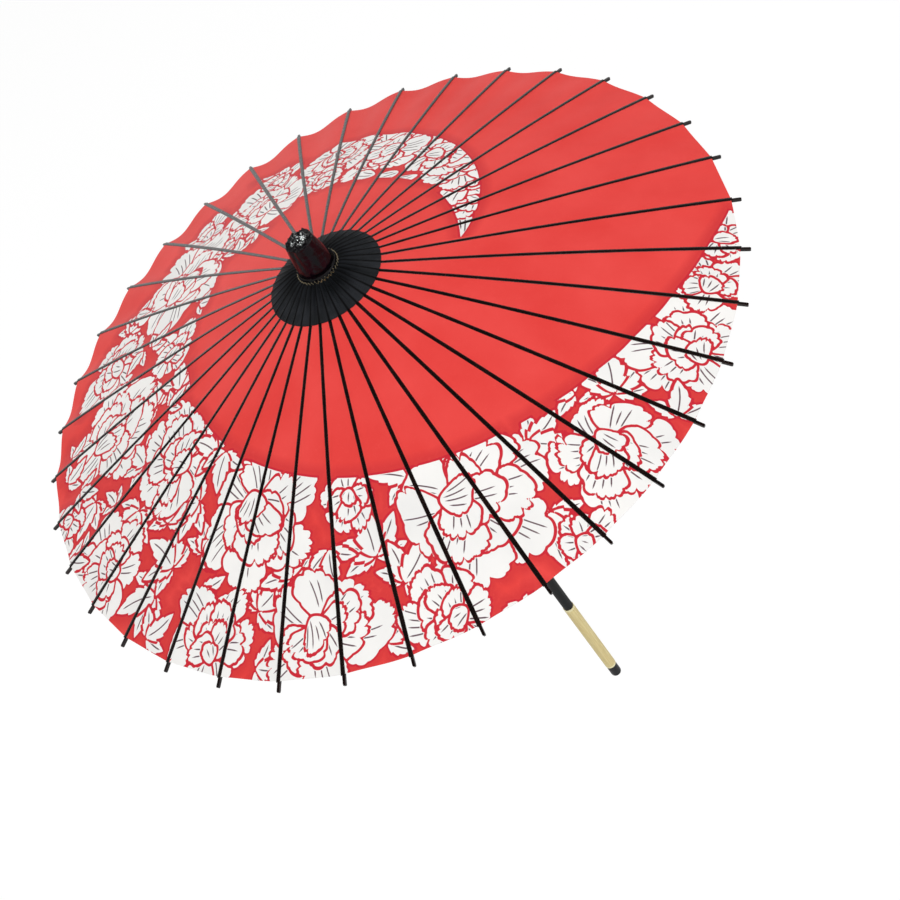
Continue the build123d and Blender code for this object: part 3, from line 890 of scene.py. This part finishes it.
def make_cap(film):
    """The film cap, from its foot up and then in over the top. Its side tapers, drawn in at the tie by a
    bell curve and into flat facets by |sin| waves that turn as they rise. The top is gathered by finer
    |sin| waves, which fade at its edge and at its sunken middle."""
    around = np.linspace(0, 2 * np.pi, 360, endpoint=False)
    high = CAP_HIGH - CAP_LOW
    shoulder = 0.93  # where the side ends, as a share of the height
    shoulder_r = CAP_TOP + 0.0016

    def fold(turns, phase, sharp=1.0):
        """A wave with this many creases round the cap, near 0 on average."""
        return 0.62 - np.abs(np.sin(turns * around / 2 + phase)) ** sharp

    side = np.linspace(0, 1, 70)[:, None]
    taper = CAP_BASE + (shoulder_r - CAP_BASE) * side**0.95
    facets = -0.0011 * fold(5, 0.9 * side) - 0.0006 * fold(7, 1 - 1.6 * side) + 0.0003 * fold(13, 3 * side)
    waist = -0.0012 * np.exp(-(((side - 0.1) / 0.06) ** 2))
    outer = taper + facets * np.clip(side * 5, 0.3, 1) + waist
    wall = polar(outer, np.degrees(around), CAP_LOW + high * side * shoulder)
    inward = np.linspace(0, 1, 50)[1:, None]
    shrink = 1 - 0.16 * np.sin(inward * np.pi / 2) ** 2 - 0.82 * inward**1.3 + 0.02
    crown = outer[-1] * np.clip(shrink, 0.02, 1)
    folds = 0.0026 * fold(7, 2.5 * inward, 0.7) + 0.0018 * fold(13, -4 * inward, 0.8)
    folds = folds + 0.0009 * np.sin(23 * around + 11 * inward) * np.sin(9 * inward)
    gather = np.sin(np.pi * inward**0.7)
    lip = high * 0.055 * np.sin(np.pi / 2 * np.clip(inward * 3, 0, 1))
    sunk = 0.0004 * inward**1.5
    top_height = CAP_LOW + high * shoulder + lip + folds * gather - sunk
    top = polar(crown, np.degrees(around + 0.5 * inward**2), top_height)
    hem = np.array([[CAP_BASE - 0.0028], [CAP_BASE - 0.0018]]) + 0 * around
    inner = polar(hem, np.degrees(around), np.array([[CAP_LOW + 0.004], [CAP_LOW]]))
    cap = tube_mesh("cap", np.concatenate([inner, wall, top]), film)
    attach(cap, "shaft")
    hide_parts("head_cap")


def make_stretchers(bamboo):
    """Split-bamboo stretchers from the runner's wire to the ears under the ribs: bars of a rounded
    oblong section, part circle and part square, carried along a straight line that lies in a plane
    through the shaft. `wide` and `deep` are the section's sizes at each place `along` the bar."""
    inner = np.array([HINGE_R, RUNNER_Z])
    outer = np.array([EAR_X, EAR_Z])
    ahead = (outer - inner) / float(np.hypot(*(outer - inner)))
    roundness = 0.65
    along = np.array([-1.5, -0.9, 0, 1.5, 9, 12, 40, 95, 150, 178, 181, 189, 190, 191.0, 191.6]) * MM
    wide = np.array([1.2, 1.7, 1.8, 1.8, 1.8, 2.4, 2.5, 2.5, 2.5, 2.4, 1.1, 1.1, 1.1, 1.0, 0.8]) * MM
    deep = np.array([1.2, 2.4, 3.0, 3.0, 3.0, 3.0, 3.0, 3.0, 3.0, 3.0, 3.0, 3.2, 3.2, 2.6, 1.2]) * MM
    angle = np.linspace(0, 2 * np.pi, 16, endpoint=False)
    square = 0.5 / np.maximum(np.abs(np.cos(angle)), np.abs(np.sin(angle)))
    section = square * (1 - roundness) + 0.5 * roundness
    place = inner + along[:, None] * ahead
    for number in range(RIBS):
        outward, sideways = rib_directions(number * STEP)
        path = outward * place[:, :1] + UP * place[:, 1:]
        normal = UP * ahead[0] - outward * ahead[1]
        rings = (
            path[:, None]
            + sideways * (wide[:, None] * section * np.cos(angle))[..., None]
            + normal * (deep[:, None] * section * np.sin(angle))[..., None]
        )
        bar = tube_mesh(f"stretcher_{number + 1:02d}", rings[:, ::-1], bamboo)
        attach(bar, "runner")
        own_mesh(bar)
        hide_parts("stretchers")


def make_ear_pins(steel):
    """The pin through each rib's ear: a round bar with bevelled ends, square to the rib."""
    angle = np.linspace(0, 2 * np.pi, 12, endpoint=False)
    places = np.array([-1.36, -1.28, 1.28, 1.36]) * MM  # across the rib
    radii = np.array([0.38, 0.5, 0.5, 0.38]) * MM
    for number in range(RIBS):
        outward, sideways = rib_directions(number * STEP)
        circle = outward * np.cos(angle)[:, None] + UP * np.sin(angle)[:, None]
        middle = outward * EAR_X + UP * EAR_Z
        rings = middle + sideways * places[:, None, None] + circle * radii[:, None, None]
        pin = tube_mesh(f"ear_pin_{number + 1:02d}", rings[:, ::-1], steel)
        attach(pin, f"rib_{number + 1:02d}")
        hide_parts("stretcher_pins")


# ---------------------------------------------------------------- materials on the frame's own parts


def dress(node, finish):
    """Gives one of the frame's own parts a finish."""
    for slot in frame["nodes"][node].material_slots:
        slot.material = finish


def dress_frame():
    """Dresses every part that keeps its own mesh, and returns the finishes that new pieces share."""
    black = lacquer()
    for number in range(RIBS):
        dress(f"rib_{number + 1:02d}", black)
    steel = metal("pin_steel", rgb(190, 190, 192), rgb(150, 150, 152), 0.3)
    brass = metal("brass_wire", rgb(214, 178, 96), rgb(176, 136, 66), 0.28)
    turned = wood("turned_wood", rgb(205, 170, 124), rgb(170, 128, 82), (1, 1, 0.08), 300.0, 0.45)
    pale = wood("grip_wood", rgb(230, 216, 160), rgb(208, 188, 128), (1, 1, 0.035), 520.0, 0.42)
    bamboo = wood("split_bamboo", rgb(214, 186, 128), rgb(184, 148, 88), (1, 1, 0.3), 500.0, 0.45)
    cream = cream_ring()
    finishes = {
        "shaft_tube": tube_black(), "grip": pale, "grip_ring_upper": cream, "grip_ring_lower": cream,
        "end_cap": end_black(), "head_hub": turned, "runner_hub": turned, "head_wire": brass,
        "runner_wire": brass, "head_pin": steel, "stop_pin": steel, "catch_pin": steel,
        "catch_leaf": steel, "cap_tie": thread("black_thread", rgb(16, 12, 14), rgb(6, 5, 6)),
    }
    for node, finish in finishes.items():
        dress(node, finish)
    return black, steel, bamboo


# ---------------------------------------------------------------- camera, light and floor

VIEW_HEADING = 140.9  # the way the camera looks, in degrees
VIEW_FALL = 45.31  # and how far down
VIEW_ROLL = -36.49
VIEW_FROM = (2.6916, -2.1961, 3.0520)  # from the middle of the ribs' tips, in radii of their circle
LENS, SENSOR = 71.11, 36.0  # in millimetres
WORLD_LIGHT = 0.62
HORIZON_GLOW, CEILING_GLOW = 0.95, 0.03  # what glossy surfaces see
GLOW_FADES = (0.25, 0.75)  # from the one to the other, by the rise of the direction looked in
FLOOR_Z = -0.75  # held at hip height over the floor
FLOOR_REACH = 6
FLOOR_POINTS = 13
FLOOR_GLOW, GLOW_SHARE = 1.06, 0.82
HEART = (0, 0, 0.6)  # where every lamp points
# Lamps: place, width and power in watts
LAMPS = {
    "key": ((1.5, -2.1, 3.2), 2.4, 50.0),
    "fill": ((2.8, 1.0, 2.2), 2.6, 22.0),
    "far": ((-2.6, 1.4, 2.0), 2.0, 10.0),
    "glint": ((-1.5, 1.2, 2.9), 0.3, 9.0),
}


def make_camera():
    """A camera that looks along a heading and down by a fall, and is then rolled."""
    heading, fall, roll = (math.radians(a) for a in (VIEW_HEADING, VIEW_FALL, VIEW_ROLL))
    flat = Vector((math.cos(heading), math.sin(heading), 0))
    look = flat * math.cos(fall) - Vector((0, 0, math.sin(fall)))
    level = look.cross(Vector((0, 0, 1))).normalized()
    upright = level.cross(look)
    right = level * math.cos(roll) + upright * math.sin(roll)
    up = right.cross(look)
    camera = bpy.data.objects.new("camera", bpy.data.cameras.new("camera"))
    camera.data.lens = LENS
    camera.data.sensor_width = SENSOR
    turn = Matrix((right, up, -look)).transposed()
    place = Vector(VIEW_FROM) * TIP + Vector((0, 0, TIP_Z))
    camera.matrix_world = Matrix.Translation(place) @ turn.to_4x4()
    bpy.context.scene.collection.objects.link(camera)
    bpy.context.scene.camera = camera


def make_world():
    """Pale studio light. The camera sees plain white; glossy surfaces see white near the horizon and a
    dim ceiling overhead."""
    world = bpy.data.worlds.new("studio")
    bpy.context.scene.world = world
    world.use_nodes = True
    tree = world.node_tree
    nodes, link = tree.nodes, tree.links.new

    def background(strength):
        node = nodes.new("ShaderNodeBackground")
        node.inputs["Color"].default_value = (1, 1, 1, 1)
        node.inputs["Strength"].default_value = strength
        return node

    def blend(share, first, second):
        node = nodes.new("ShaderNodeMixShader")
        link(share, node.inputs[0])
        link(first.outputs[0], node.inputs[1])
        link(second.outputs[0], node.inputs[2])
        return node

    path = nodes.new("ShaderNodeLightPath")
    split = nodes.new("ShaderNodeSeparateXYZ")
    link(nodes.new("ShaderNodeTexCoord").outputs["Generated"], split.inputs[0])
    overhead = nodes.new("ShaderNodeMapRange")
    link(split.outputs["Z"], overhead.inputs["Value"])
    overhead.inputs["From Min"].default_value, overhead.inputs["From Max"].default_value = GLOW_FADES
    mirrored = blend(overhead.outputs[0], background(HORIZON_GLOW), background(CEILING_GLOW))
    sight = nodes.new("ShaderNodeMath")
    sight.operation = "MAXIMUM"
    link(path.outputs["Is Camera Ray"], sight.inputs[0])
    link(path.outputs["Is Transmission Ray"], sight.inputs[1])
    glossy = blend(path.outputs["Is Glossy Ray"], background(WORLD_LIGHT), mirrored)
    final = blend(sight.outputs[0], glossy, background(1.0))
    output = next(n for n in nodes if n.type == "OUTPUT_WORLD")
    link(final.outputs[0], output.inputs[0])


def make_floor():
    """A wide pale floor. The camera sees it mostly as a white glow, over the shadow that it takes."""
    span = np.linspace(-FLOOR_REACH, FLOOR_REACH, FLOOR_POINTS)
    x, y = np.meshgrid(span, span, indexing="ij")
    points = np.stack([x, y, np.full(x.shape, FLOOR_Z)], -1)
    finish = Finish("floor", Roughness=0.9)
    finish.set(Base_Color=(0.9, 0.9, 0.9, 1))
    tree = finish.tree
    output = next(n for n in tree.nodes if n.type == "OUTPUT_MATERIAL")
    path = finish.node("LightPath")
    sight = Value(finish, path.outputs["Is Camera Ray"]) * GLOW_SHARE
    glow = finish.node("Emission", None, Color=(1, 1, 1, 1), Strength=FLOOR_GLOW)
    mix = finish.node("MixShader", None, sight, finish.surface.outputs[0], glow.outputs[0])
    tree.links.new(mix.outputs[0], output.inputs[0])
    faces = grid_faces(FLOOR_POINTS, FLOOR_POINTS, flip=True)
    floor = new_piece("floor", points, [faces], finish.material)


def make_lamps():
    """Soft round lamps round the umbrella, and a small bright one for glints."""
    for name, (place, width, power) in LAMPS.items():
        lamp = bpy.data.lights.new(name, "AREA")
        lamp.shape = "DISK"
        lamp.size = width
        lamp.energy = power
        holder = bpy.data.objects.new(name, lamp)
        turn = (Vector(HEART) - Vector(place)).to_track_quat("-Z", "Y")
        holder.matrix_world = Matrix.Translation(place) @ turn.to_matrix().to_4x4()
        bpy.context.scene.collection.objects.link(holder)


make_camera()
make_world()
make_lamps()
make_floor()
black, steel, bamboo = dress_frame()
make_sheet(printed_paper())
make_rib_lines(black)
make_rim_threads(thread("red_thread", rgb(206, 52, 50), rgb(150, 30, 32)))
make_disc(disc_paper())
make_disc_stitches(thread("lacing_thread", rgb(168, 156, 128), rgb(110, 98, 76)))
make_cap(cap_film())
make_stretchers(bamboo)
make_ear_pins(steel)

bpy.context.scene.view_settings.view_transform = "Standard"
